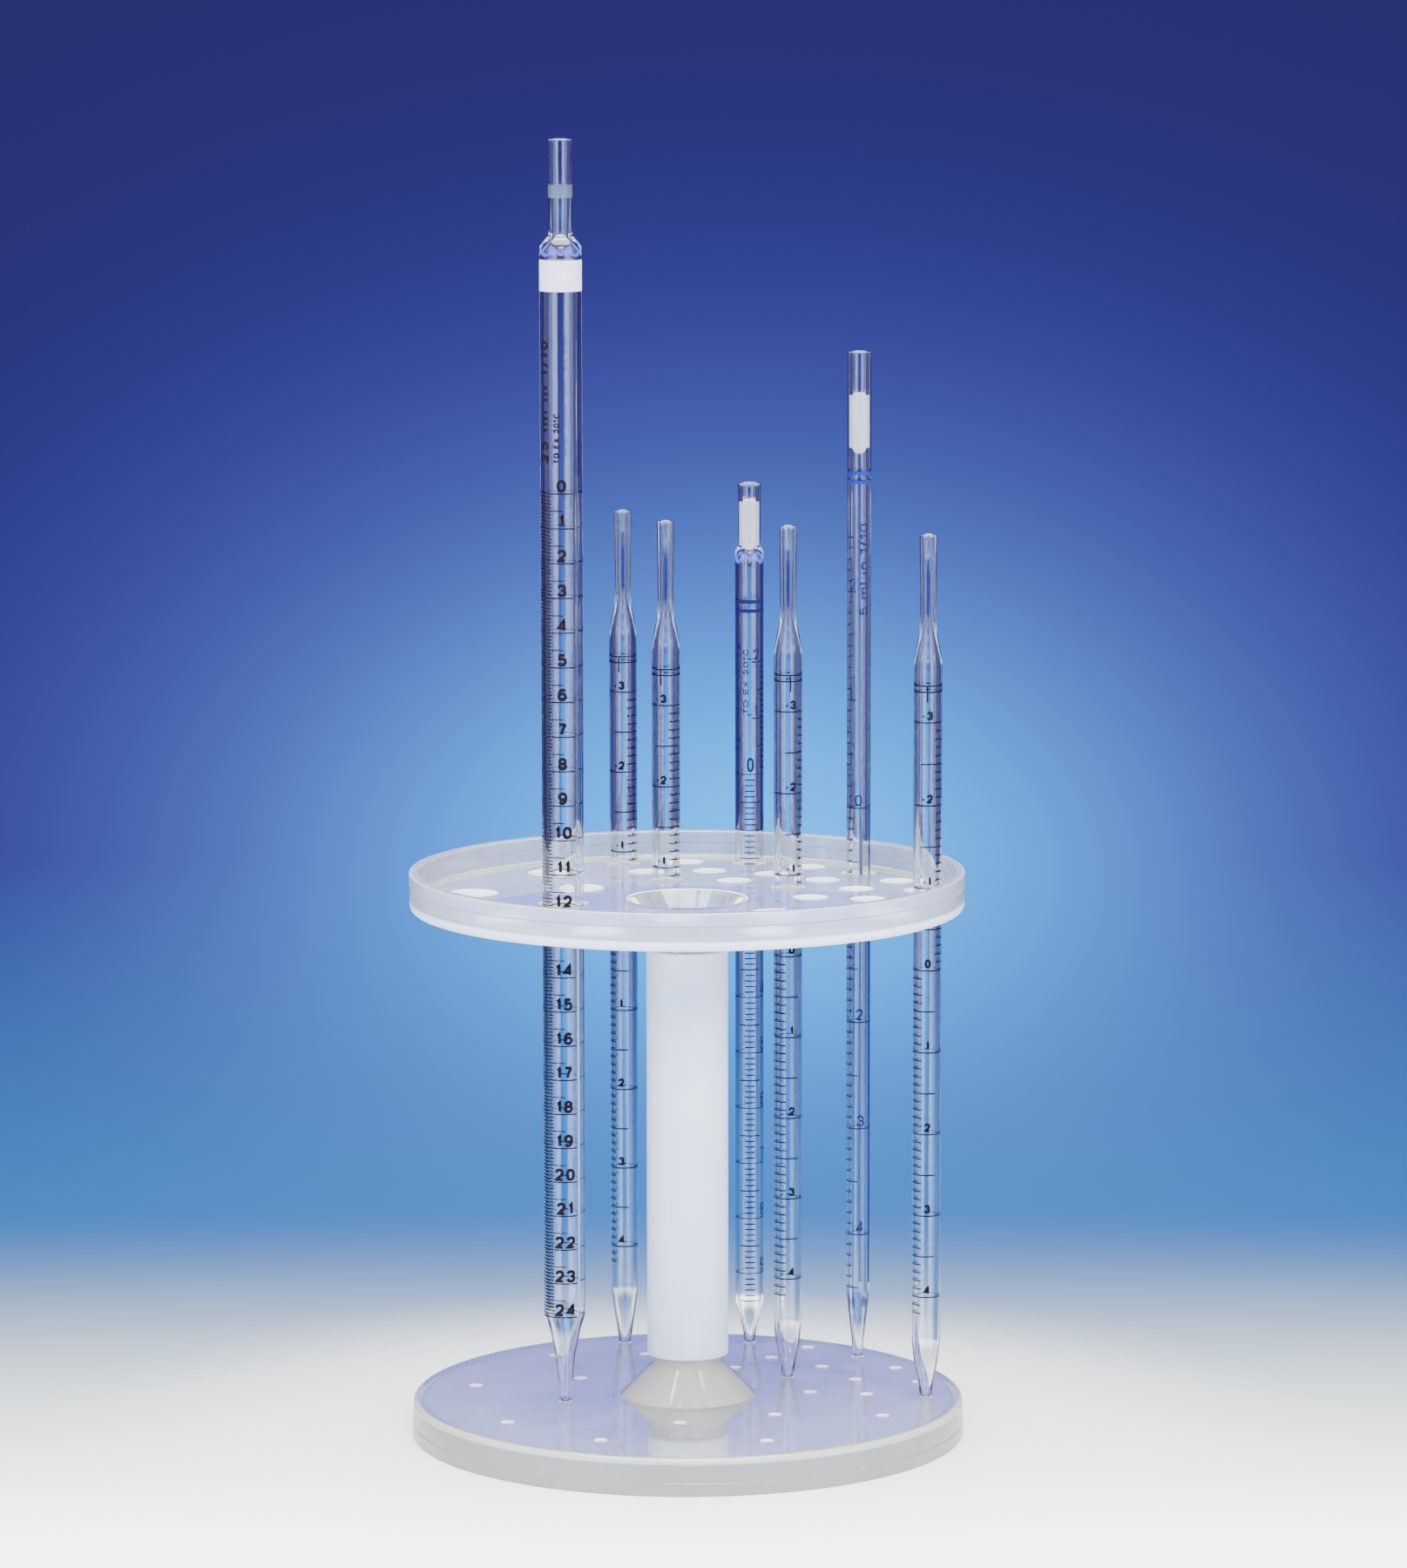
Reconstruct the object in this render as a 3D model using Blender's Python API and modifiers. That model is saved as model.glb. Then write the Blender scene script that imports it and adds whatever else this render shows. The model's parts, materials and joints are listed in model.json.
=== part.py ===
"""Pipette set: a round two-dish bench stand with seven graduated pipettes.

Two identical dishes sit on the ends of a centre tube.  The base dish lies upside
down, skirt on the bench, and the tray dish stands upright on the tube.  Pipettes
drop through the tray's holes, and each one stands with its tip over a small hole
in the base.  Metres, +Z up; the origin is the centre of the base's bottom rim.
"""
import math

import bmesh
import bpy

MM = 0.001

# Dishes: heights run from the open rim, at 0, towards the plate and the boss.
DISH_R = 99.0 * MM
DISH_H = 13.56 * MM
SKIRT_R = DISH_R - 0.5 * MM
LIP_H = 4.4 * MM
RIM_BREAK = 0.5 * MM
WALL = 3.2 * MM
PLATE = 3.4 * MM
EDGE_ROUND = 2.2 * MM
CONE_R = 24.3 * MM
FUNNEL_R = 21.2 * MM
NECK_R = 12.5 * MM
CONE_TOP = DISH_H + 11.9 * MM
NECK_TOP = CONE_TOP + 2.7 * MM
SPIGOT_R = 11.8 * MM
SPIGOT_TOP = NECK_TOP + 12.0 * MM
BORE_R = 9.4 * MM

# Stand
GAP = 0.3 * MM
TRAY_TOP = 204.07 * MM
COLUMN_R = 14.57 * MM
COLUMN_BORE_R = SPIGOT_R + GAP
COLUMN_BEVEL = 0.8 * MM

# Hole rings in the two plates: (ring radius, hole radius, bearings in degrees from +X).
# The small holes fill a fan about 50 degrees, the large ones the opposite fan.
SMALL_HOLE_R = 5.87 * MM
LARGE_HOLE_R = 8.8 * MM
TIP_HOLE_R = 2.15 * MM
FAN = 50.0


def fan(half_width, count):
    """Bearings of evenly spaced holes, from one side of the fan to the other."""
    return [FAN - half_width + 2.0 * half_width * i / (count - 1) for i in range(count)]


def pairs(*offsets):
    """Bearings of hole pairs that mirror each other about the side opposite the fan."""
    return [FAN + 180.0 + side * offset for offset in offsets for side in (-1, 1)]


SMALL_RINGS = (
    (85.6 * MM, fan(55.0, 8)),
    (64.4 * MM, fan(53.0, 6)),
    (44.1 * MM, fan(49.0, 4)),
)
LARGE_RINGS = (
    (77.7 * MM, pairs(16.0, 60.0, 102.0)),
    (45.5 * MM, pairs(35.5, 82.0)),
)

# Facet counts round each kind of piece
DISH_STEPS = 48
COLUMN_STEPS = 32
GLASS_STEPS = 16
PLUG_STEPS = 12
SMALL_HOLE_STEPS = 12
LARGE_HOLE_STEPS = 16
TIP_HOLE_STEPS = 8

TIP_Z = DISH_H + GAP
MERGE = 0.00001

parts = None
cutters = None


# ---------------------------------------------------------------- helpers

def clear_scene():
    """Remove every object, so that the script starts from nothing."""
    for old in list(bpy.data.objects):
        bpy.data.objects.remove(old, do_unlink=True)


def new_collection(name):
    """Make a collection and link it to the scene."""
    made = bpy.data.collections.new(name)
    bpy.context.scene.collection.children.link(made)
    return made


def material(name, colour, roughness, metallic=0.0, alpha=1.0):
    """A Principled material with one colour."""
    made = bpy.data.materials.new(name)
    made.use_nodes = True
    shader = made.node_tree.nodes["Principled BSDF"]
    shader.inputs["Base Color"].default_value = (*colour, 1.0)
    shader.inputs["Roughness"].default_value = roughness
    shader.inputs["Metallic"].default_value = metallic
    shader.inputs["Alpha"].default_value = alpha
    made.diffuse_color = (*colour, alpha)
    return made


def turned(name, outline, steps, finish, location=(0.0, 0.0, 0.0), parent=None):
    """Turn a closed outline of (radius, height) points about its own Z axis.

    The outline runs down the outside and back up the inside.  A radius of 0 at both
    ends leaves the outline open there, and the turned surface closes on the axis.
    """
    shape = bpy.data.meshes.new(name)
    obj = bpy.data.objects.new(name, shape)
    parts.objects.link(obj)
    on_axis = outline[0][0] == 0.0
    mesh = bmesh.new()
    ring = [mesh.verts.new((radius, 0.0, height)) for radius, height in outline]
    for first, second in zip(ring, ring[1:]):
        mesh.edges.new((first, second))
    if not on_axis:
        mesh.edges.new((ring[-1], ring[0]))
    mesh.to_mesh(shape)
    mesh.free()
    screw = obj.modifiers.new("Turn", "SCREW")
    screw.axis = "Z"
    screw.steps = steps
    screw.render_steps = steps
    screw.use_merge_vertices = True
    screw.merge_threshold = MERGE
    screw.use_smooth_shade = True
    obj.location = location
    obj.parent = parent
    shape.materials.append(finish)
    return obj


def hole_cutter(name, holes, low, high, location=(0.0, 0.0, 0.0)):
    """One cutter of upright cylinders, from (x, y, radius, sides) for each hole."""
    mesh = bmesh.new()
    for x, y, radius, sides in holes:
        made = bmesh.ops.create_cone(
            mesh, cap_ends=True, segments=sides, radius1=radius, radius2=radius, depth=high - low
        )
        bmesh.ops.translate(mesh, verts=made["verts"], vec=(x, y, (low + high) / 2.0))
    shape = bpy.data.meshes.new(name)
    mesh.to_mesh(shape)
    mesh.free()
    cutter = bpy.data.objects.new(name, shape)
    cutters.objects.link(cutter)
    cutter.location = location
    cutter.hide_render = True
    cutter.display_type = "WIRE"
    return cutter


def cut(obj, cutter):
    """Take the cutter's shape out of an object."""
    boolean = obj.modifiers.new("Holes", "BOOLEAN")
    boolean.operation = "DIFFERENCE"
    boolean.solver = "EXACT"
    boolean.object = cutter


def empty(name, location, parent=None):
    """A joint's frame, on the axis that its piece slides along."""
    made = bpy.data.objects.new(name, None)
    made.empty_display_size = 10.0 * MM
    made.location = location
    made.parent = parent
    parts.objects.link(made)
    return made


def polar(radius, bearing):
    """Plan position at a radius and a bearing in degrees."""
    angle = math.radians(bearing)
    return radius * math.cos(angle), radius * math.sin(angle)


# ---------------------------------------------------------------- stand

def dish_outline():
    """Section of a dish with its rim at height 0 and its boss pointing up."""
    centre_r = SKIRT_R - EDGE_ROUND
    centre_z = DISH_H - EDGE_ROUND
    round_over = [
        (
            centre_r + EDGE_ROUND * math.sin(math.radians(a)),
            centre_z + EDGE_ROUND * math.cos(math.radians(a)),
        )
        for a in (0, 30, 60, 90)
    ]
    inner_r = SKIRT_R - WALL
    under = DISH_H - PLATE
    return [
        (BORE_R + RIM_BREAK, SPIGOT_TOP),
        (SPIGOT_R - RIM_BREAK, SPIGOT_TOP),
        (SPIGOT_R, SPIGOT_TOP - RIM_BREAK),
        (SPIGOT_R, NECK_TOP),
        (NECK_R, NECK_TOP),
        (NECK_R, CONE_TOP),
        (CONE_R, DISH_H),
        *round_over,
        (SKIRT_R, LIP_H + 0.8 * MM),
        (DISH_R, LIP_H),
        (DISH_R, RIM_BREAK),
        (DISH_R - RIM_BREAK, 0.0),
        (inner_r, 0.0),
        (inner_r, under + 1.2 * MM),
        (inner_r - 1.2 * MM, under),
        (FUNNEL_R + 0.6 * MM, under),
        (FUNNEL_R - 0.4 * MM, under + 0.5 * MM),
        (BORE_R, CONE_TOP - 3.0 * MM),
        (BORE_R, SPIGOT_TOP - RIM_BREAK),
    ]


def upside_down(outline, height):
    """Turn a section over about its mid height and keep its running direction."""
    return [(radius, height - z) for radius, z in reversed(outline)]


def dish_holes(small_r, large_r, small_sides, large_sides):
    """All 28 holes of a plate as (x, y, radius, sides)."""
    holes = []
    for rings, radius, sides in (
        (SMALL_RINGS, small_r, small_sides),
        (LARGE_RINGS, large_r, large_sides),
    ):
        for ring_r, bearings in rings:
            holes += [(*polar(ring_r, bearing), radius, sides) for bearing in bearings]
    return holes


def build_base(finish):
    """Base dish, upside down on its rim, with a small tip hole for each pipette place."""
    base = turned("base_dish", dish_outline(), DISH_STEPS, finish)
    holes = dish_holes(TIP_HOLE_R, TIP_HOLE_R, TIP_HOLE_STEPS, TIP_HOLE_STEPS)
    cutter = hole_cutter("tip_hole_cutter", holes, DISH_H - PLATE - 2.0 * MM, DISH_H + 2.0 * MM)
    cut(base, cutter)
    return base


def build_column(finish, parent):
    """Centre tube, over the base's spigot and resting on its neck."""
    low = NECK_TOP + GAP
    high = TRAY_TOP - NECK_TOP - GAP
    outline = [
        (COLUMN_BORE_R, high),
        (COLUMN_R - COLUMN_BEVEL, high),
        (COLUMN_R, high - COLUMN_BEVEL),
        (COLUMN_R, low + COLUMN_BEVEL),
        (COLUMN_R - COLUMN_BEVEL, low),
        (COLUMN_BORE_R, low),
    ]
    return turned("column_tube", outline, COLUMN_STEPS, finish, parent=parent)


def build_tray(finish, parent):
    """Tray dish, rim up, with its boss down in the tube and a guide hole for each pipette."""
    tray = turned(
        "tray_dish", upside_down(dish_outline(), TRAY_TOP), DISH_STEPS, finish, parent=parent
    )
    holes = dish_holes(SMALL_HOLE_R, LARGE_HOLE_R, SMALL_HOLE_STEPS, LARGE_HOLE_STEPS)
    floor = TRAY_TOP - DISH_H
    cutter = hole_cutter("guide_hole_cutter", holes, floor - 2.0 * MM, floor + PLATE + 2.0 * MM)
    cut(tray, cutter)
    return tray


# ---------------------------------------------------------------- pipettes

def s_curve(high, low, steps):
    """Points of a smooth S between two (radius, height) ends, without the first."""
    points = []
    for i in range(1, steps + 1):
        t = i / steps
        blend = t * t * (3.0 - 2.0 * t)
        points.append((high[0] + (low[0] - high[0]) * blend, high[1] + (low[1] - high[1]) * t))
    return points


def bell(power):
    """Tip shape with a rounded shoulder, as a share of the radius at a share of the height."""
    return lambda t: math.sin(math.pi / 2.0 * t) ** power


def drawn(power):
    """Tip shape that starts to close at once, as on a heat-drawn tube."""
    return lambda t: t ** power


def tip_run(body_r, end_r, height, shape, steps=6):
    """Points from the body down to the tip's end, the body's own point included."""
    points = []
    for i in range(steps + 1):
        t = 1.0 - i / steps
        points.append((end_r + (body_r - end_r) * shape(t), height * t))
    return points


# Each kind of pipette, heights measured up from its tip's end.
# mouth and bore are (radius, height, steps): steps above 0 reach the point by an S.
KINDS = {
    "25ml": {
        "length": 450.0 * MM,
        "mouth": (
            (4.2 * MM, 419.0 * MM, 0),
            (4.6 * MM, 417.5 * MM, 0),
            (6.6 * MM, 416.2 * MM, 0),
            (7.4 * MM, 413.4 * MM, 3),
        ),
        "mouth_r": 4.2 * MM,
        "body_r": 7.4 * MM,
        "bore": (
            (2.6 * MM, 424.3 * MM, 0),
            (1.8 * MM, 423.3 * MM, 0),
            (1.8 * MM, 418.4 * MM, 0),
            (5.1 * MM, 410.5 * MM, 4),
        ),
        "mouth_bore_r": 2.6 * MM,
        "body_bore_r": 5.1 * MM,
        "tip_h": 33.5 * MM,
        "tip_shape": drawn(1.85),
        "tip_r": 2.4 * MM,
        "tip_bore_r": 1.0 * MM,
    },
    "10ml": {
        "length": 320.7 * MM,
        "mouth": (
            (4.0 * MM, 297.6 * MM, 0),
            (4.9 * MM, 296.0 * MM, 0),
            (5.2 * MM, 294.4 * MM, 2),
        ),
        "mouth_r": 4.1 * MM,
        "body_r": 5.2 * MM,
        "bore": (
            (2.65 * MM, 295.8 * MM, 0),
            (3.95 * MM, 290.5 * MM, 3),
        ),
        "mouth_bore_r": 2.65 * MM,
        "body_bore_r": 3.95 * MM,
        "tip_h": 17.0 * MM,
        "tip_shape": bell(1.9),
        "tip_r": 1.85 * MM,
        "tip_bore_r": 0.8 * MM,
    },
    "5ml_long": {
        "length": 370.5 * MM,
        "mouth": (),
        "mouth_r": 4.3 * MM,
        "body_r": 4.3 * MM,
        "bore": (),
        "mouth_bore_r": 2.85 * MM,
        "body_bore_r": 2.85 * MM,
        "tip_h": 24.0 * MM,
        "tip_shape": bell(2.3),
        "tip_r": 1.85 * MM,
        "tip_bore_r": 0.75 * MM,
    },
    "5ml_short": {
        "length": 310.7 * MM,
        "mouth": (
            (2.8 * MM, 283.5 * MM, 2),
            (5.05 * MM, 264.5 * MM, 5),
        ),
        "mouth_r": 3.15 * MM,
        "body_r": 5.05 * MM,
        "bore": (
            (1.4 * MM, 281.5 * MM, 0),
            (3.3 * MM, 264.5 * MM, 5),
        ),
        "mouth_bore_r": 1.5 * MM,
        "body_bore_r": 3.3 * MM,
        "tip_h": 19.5 * MM,
        "tip_shape": bell(1.8),
        "tip_r": 2.1 * MM,
        "tip_bore_r": 0.8 * MM,
    },
}

# Fibre plugs pushed into the mouths: radius, and the heights of their ends above the tip.
COTTON_10ML = (2.3 * MM, 295.4 * MM, 315.6 * MM)
COTTON_5ML_LONG = (2.55 * MM, 333.5 * MM, 356.5 * MM)
NECK_PLUG_R = 1.1 * MM
NECK_PLUG_LOW = 281.9 * MM

# Where the pipettes stand: (name, kind, ring radius, bearing, plug or None)
PLACES = (
    ("25ml", "25ml", LARGE_RINGS[1][0], LARGE_RINGS[1][1][0], None),
    ("10ml", "10ml", SMALL_RINGS[0][0], SMALL_RINGS[0][1][5], COTTON_10ML),
    ("5ml_long", "5ml_long", SMALL_RINGS[0][0], SMALL_RINGS[0][1][3], COTTON_5ML_LONG),
    ("5ml_short_1", "5ml_short", SMALL_RINGS[0][0], SMALL_RINGS[0][1][7],
     (NECK_PLUG_R, NECK_PLUG_LOW, 303.8 * MM)),
    ("5ml_short_2", "5ml_short", SMALL_RINGS[2][0], SMALL_RINGS[2][1][3],
     (NECK_PLUG_R, NECK_PLUG_LOW, 299.5 * MM)),
    ("5ml_short_3", "5ml_short", SMALL_RINGS[2][0], SMALL_RINGS[2][1][1],
     (NECK_PLUG_R, NECK_PLUG_LOW, 302.5 * MM)),
    ("5ml_short_4", "5ml_short", SMALL_RINGS[0][0], SMALL_RINGS[0][1][0],
     (NECK_PLUG_R, NECK_PLUG_LOW, 302.1 * MM)),
)


def stations(start, points):
    """Follow (radius, height, steps) stations down from a start point."""
    run = [start]
    for radius, height, steps in points:
        run += s_curve(run[-1], (radius, height), steps) if steps else [(radius, height)]
    return run


def pipette_outline(kind):
    """Closed section of a pipette: down the outside, round the tip and up the bore."""
    length = kind["length"]
    lip = 0.5 * MM
    outside = [(kind["mouth_r"] - lip, length), (kind["mouth_r"], length - lip)]
    outside = outside[:1] + stations(outside[1], kind["mouth"])
    outside += tip_run(kind["body_r"], kind["tip_r"], kind["tip_h"], kind["tip_shape"])
    mouth_bore = kind["mouth_bore_r"]
    inside = stations((mouth_bore, length - lip), kind["bore"])
    inside += tip_run(kind["body_bore_r"], kind["tip_bore_r"], kind["tip_h"], kind["tip_shape"])
    return outside + inside[::-1]


def plug_outline(radius, low, high):
    """Section of a plug with a domed lower end and a softly rounded top."""
    return [
        (0.0, high),
        (radius * 0.8, high - 0.1 * radius),
        (radius, high - 0.5 * radius),
        (radius, low + 0.7 * radius),
        (radius * 0.7, low + 0.2 * radius),
        (0.0, low),
    ]


def build_pipette(place, glass, cotton, dyed):
    """One pipette with its plug, both hung on the empty that slides."""
    name, kind_name, ring_r, bearing, plug = place
    x, y = polar(ring_r, bearing)
    slide = empty("slide_" + name, (x, y, TIP_Z))
    turned("pipette_" + name, pipette_outline(KINDS[kind_name]), GLASS_STEPS, glass, parent=slide)
    if plug:
        fibre = dyed if kind_name == "5ml_short" else cotton
        turned("plug_" + name, plug_outline(*plug), PLUG_STEPS, fibre, parent=slide)


# ---------------------------------------------------------------- assembly

clear_scene()
parts = new_collection("pipette_set")
cutters = new_collection("cutters")

natural = material("natural_polypropylene", (0.80, 0.82, 0.82), 0.35)
tube_white = material("tube_polypropylene", (0.86, 0.87, 0.83), 0.5)
glass = material("clear_glass", (0.82, 0.88, 0.92), 0.05, alpha=0.35)
cotton = material("cotton", (0.93, 0.91, 0.86), 0.95)
dyed = material("dyed_fibre", (0.05, 0.06, 0.28), 0.8)

build_base(natural)
column_slide = empty("slide_column", (0.0, 0.0, 0.0))
build_column(tube_white, column_slide)
tray_slide = empty("slide_tray", (0.0, 0.0, 0.0), column_slide)
build_tray(natural, tray_slide)
for place in PLACES:
    build_pipette(place, glass, cotton, dyed)
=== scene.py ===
"""Looks for the pipette set: a natural plastic bench stand with seven graduated glass pipettes.

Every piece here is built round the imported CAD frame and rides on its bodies.  Metres, +Z up.
Angles round a tube are in degrees: 0 faces the front (-Y) and they grow towards +X.
"""
import json
import math

import bmesh
import bpy
import numpy as np
from mathutils import Matrix, Vector, noise


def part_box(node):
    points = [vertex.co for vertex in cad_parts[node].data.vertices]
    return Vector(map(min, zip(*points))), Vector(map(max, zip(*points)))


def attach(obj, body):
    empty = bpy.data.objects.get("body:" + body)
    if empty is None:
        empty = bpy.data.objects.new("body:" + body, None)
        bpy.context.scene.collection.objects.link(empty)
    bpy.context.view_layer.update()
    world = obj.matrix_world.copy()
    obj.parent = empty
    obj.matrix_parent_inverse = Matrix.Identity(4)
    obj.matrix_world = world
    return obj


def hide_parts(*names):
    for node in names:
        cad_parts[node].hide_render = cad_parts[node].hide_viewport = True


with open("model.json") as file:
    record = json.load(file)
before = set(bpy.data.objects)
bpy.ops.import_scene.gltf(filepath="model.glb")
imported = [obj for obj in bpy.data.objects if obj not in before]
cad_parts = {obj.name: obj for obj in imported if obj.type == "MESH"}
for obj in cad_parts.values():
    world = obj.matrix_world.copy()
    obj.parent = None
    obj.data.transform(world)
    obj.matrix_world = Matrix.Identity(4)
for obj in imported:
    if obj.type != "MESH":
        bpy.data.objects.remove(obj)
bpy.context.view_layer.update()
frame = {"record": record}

MM = 0.001
RECORD = frame["record"]
PIPETTES = ("25ml", "10ml", "5ml_long", "5ml_short_1", "5ml_short_2", "5ml_short_3", "5ml_short_4")


# ---------------------------------------------------------------- node helpers

def set_inputs(node, **values):
    """Set a node's inputs, named with underscores for spaces."""
    for name, value in values.items():
        node.inputs[name.replace("_", " ")].default_value = value


def new_material(name, **values):
    """A Principled material, with its tree, its shader and its object coordinates."""
    made = bpy.data.materials.new(name)
    made.use_nodes = True
    tree = made.node_tree
    shader = tree.nodes["Principled BSDF"]
    set_inputs(shader, **values)
    coords = tree.nodes.new("ShaderNodeTexCoord").outputs["Object"]
    return made, tree, shader, coords


def scaled(tree, coords, x, y, z):
    """Coordinates stretched along each axis."""
    node = tree.nodes.new("ShaderNodeMapping")
    node.inputs["Scale"].default_value = (x, y, z)
    tree.links.new(coords, node.inputs["Vector"])
    return node.outputs["Vector"]


def noise_of(tree, coords, scale, detail=3.0, roughness=0.55, distortion=0.0):
    """Noise value at a scale in cycles a metre."""
    node = tree.nodes.new("ShaderNodeTexNoise")
    set_inputs(node, Scale=scale, Detail=detail, Roughness=roughness, Distortion=distortion)
    tree.links.new(coords, node.inputs["Vector"])
    return node.outputs["Fac"]


def remap(tree, value, low, high, to_low, to_high, smooth=False):
    """A value moved from one range to another, and held there."""
    node = tree.nodes.new("ShaderNodeMapRange")
    node.interpolation_type = "SMOOTHSTEP" if smooth else "LINEAR"
    tree.links.new(value, node.inputs["Value"])
    for name, number in (
        ("From Min", low), ("From Max", high), ("To Min", to_low), ("To Max", to_high)
    ):
        node.inputs[name].default_value = number
    return node.outputs["Result"]


def blend_colours(tree, share, first, second):
    """Mix of two colours, each a tuple or a socket."""
    node = tree.nodes.new("ShaderNodeMix")
    node.data_type = "RGBA"
    tree.links.new(share, node.inputs["Factor"])
    for index, colour in ((6, first), (7, second)):
        if isinstance(colour, tuple):
            node.inputs[index].default_value = (*colour, 1.0)
        else:
            tree.links.new(colour, node.inputs[index])
    return node.outputs[2]


def maths(tree, operation, first, second):
    """A Math node over sockets or numbers."""
    node = tree.nodes.new("ShaderNodeMath")
    node.operation = operation
    for index, value in enumerate((first, second)):
        if isinstance(value, (int, float)):
            node.inputs[index].default_value = value
        else:
            tree.links.new(value, node.inputs[index])
    return node.outputs["Value"]


def distance_of(tree, first, second):
    """Length of a flat vector from its two parts."""
    squares = [maths(tree, "MULTIPLY", part, part) for part in (first, second)]
    return maths(tree, "SQRT", maths(tree, "ADD", *squares), 0.0)


def add_bump(tree, shader, height, distance):
    """Bump of a height field, its full swing being distance metres."""
    node = tree.nodes.new("ShaderNodeBump")
    node.inputs["Distance"].default_value = distance
    tree.links.new(height, node.inputs["Height"])
    tree.links.new(node.outputs["Normal"], shader.inputs["Normal"])


# ---------------------------------------------------------------- materials

def window(tree, value, low, high, soft):
    """1 between two levels and 0 outside them, with soft flanks."""
    return maths(
        tree, "MULTIPLY", remap(tree, value, low - soft, low + soft, 0.0, 1.0, True),
        remap(tree, value, high - soft, high + soft, 1.0, 0.0, True),
    )


def natural_plastic():
    """Natural polypropylene: see-through where it is thin, frosted at the funnel mouth. Along its thick
    rounded edges it is paler and less clear, a painted highlight, and its skirt is a painted shade of grey.
    """
    made, tree, shader, coords = new_material(
        "natural_plastic", IOR=1.49, Subsurface_Weight=0.4, Subsurface_Scale=0.006,
        Subsurface_Radius=(1.0, 1.0, 1.0),
    )
    split = tree.nodes.new("ShaderNodeSeparateXYZ")
    tree.links.new(coords, split.inputs[0])
    x, y, z = split.outputs
    # Zones of the mouldings, by distance from the upright axis and by height, in metres
    out = distance_of(tree, x, y)
    wall = remap(tree, out, 0.0945, 0.0955, 0.0, 1.0, True)
    fillet = remap(tree, out, 0.0968, 0.0974, 0.0, 1.0, True)
    # The base's rounded rim band gets an ivory tint and less clearness: a painted highlight for the bright
    # band along the rounding.
    base_edge = maths(tree, "MULTIPLY", fillet, window(tree, z, 0.0113, 0.0134, 0.0002))
    # The base's outer skirt gets a dull grey tint and less clearness: painted shade for the dark hollow seen
    # through it.
    skirt = maths(tree, "MULTIPLY", wall, window(tree, z, -0.01, 0.0113, 0.0003))
    tray_edge = maths(tree, "MULTIPLY", wall, window(tree, z, 0.18, 0.1941, 0.0006))
    mouth = maths(
        tree, "MULTIPLY", window(tree, out, 0.0210, 0.0217, 0.0002), window(tree, z, 0.1925, 0.1945, 0.0003)
    )
    cone = maths(
        tree, "MULTIPLY", window(tree, out, -0.01, 0.0245, 0.0003), window(tree, z, -0.01, 0.045, 0.001)
    )
    # The tray's rounded lower edge is paler and less clear: a painted highlight for the bright band along it.
    # The funnel mouth is a real frosted, machined edge.
    painted_highlight_and_frost = maths(tree, "MAXIMUM", tray_edge, mouth)

    clouds = noise_of(tree, coords, 28.0, 3.0, 0.5, 0.6)
    fine = noise_of(tree, coords, 420.0, 3.0)
    colour = blend_colours(
        tree, remap(tree, clouds, 0.3, 0.7, 0.0, 1.0, True), (0.85, 0.885, 0.91), (0.91, 0.94, 0.955)
    )
    # Tints by zone: a warm cone, painted shade on the skirt, painted highlights on the base and tray edges,
    # the frosted funnel mouth.
    for zone, tint in (
        (cone, (0.90, 0.82, 0.65)), (skirt, (0.40, 0.385, 0.315)),
        (base_edge, (0.60, 0.585, 0.45)), (painted_highlight_and_frost, (0.96, 0.97, 0.88)),
    ):
        colour = blend_colours(tree, zone, colour, tint)
    specks = remap(tree, noise_of(tree, coords, 1500.0, 1.0), 0.74, 0.80, 0.0, 0.3)
    tree.links.new(
        blend_colours(tree, specks, colour, (0.97, 0.97, 0.96)), shader.inputs["Base Color"]
    )
    clear = remap(tree, clouds, 0.3, 0.7, 0.88, 0.83)
    outside = remap(tree, out, 0.0975, 0.0982, 0.0, 1.0)
    # Clearness drops in the same zones: on the skirt this is painted shade, on the base and tray edges a
    # painted highlight, at the funnel mouth real frost.
    for zone, loss in ((outside, 0.13), (cone, 0.22), (skirt, 0.25), (base_edge, 0.4), (painted_highlight_and_frost, 0.62)):
        clear = maths(tree, "SUBTRACT", clear, maths(tree, "MULTIPLY", zone, loss))
    tree.links.new(clear, shader.inputs["Transmission Weight"])
    scuffs = noise_of(tree, scaled(tree, coords, 60.0, 900.0, 300.0), 1.0, 4.0, 0.6, 0.4)
    rough = maths(
        tree, "ADD", remap(tree, fine, 0.3, 0.7, 0.03, 0.06), remap(tree, scuffs, 0.62, 0.75, 0.0, 0.05)
    )
    rough = maths(tree, "ADD", rough, maths(tree, "MULTIPLY", outside, 0.2))
    tree.links.new(
        maths(tree, "ADD", rough, maths(tree, "MULTIPLY", mouth, 0.2)), shader.inputs["Roughness"]
    )
    ripple = maths(tree, "ADD", clouds, maths(tree, "MULTIPLY", fine, 0.04))
    add_bump(tree, shader, ripple, 0.00003)
    return made


def cut_plastic():
    """The machined walls of the holes: the same plastic, frosted white by the drill."""
    made, tree, shader, coords = new_material(
        "cut_plastic", IOR=1.49, Transmission_Weight=0.12,
        Subsurface_Weight=0.6, Subsurface_Scale=0.004, Subsurface_Radius=(1.0, 1.0, 1.0),
    )
    rings = noise_of(tree, scaled(tree, coords, 200.0, 200.0, 6000.0), 1.0, 2.0)
    tree.links.new(
        blend_colours(tree, rings, (0.90, 0.92, 0.93), (0.97, 0.975, 0.98)), shader.inputs["Base Color"]
    )
    tree.links.new(remap(tree, rings, 0.3, 0.7, 0.38, 0.55), shader.inputs["Roughness"])
    add_bump(tree, shader, rings, 0.00003)
    return made


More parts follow.
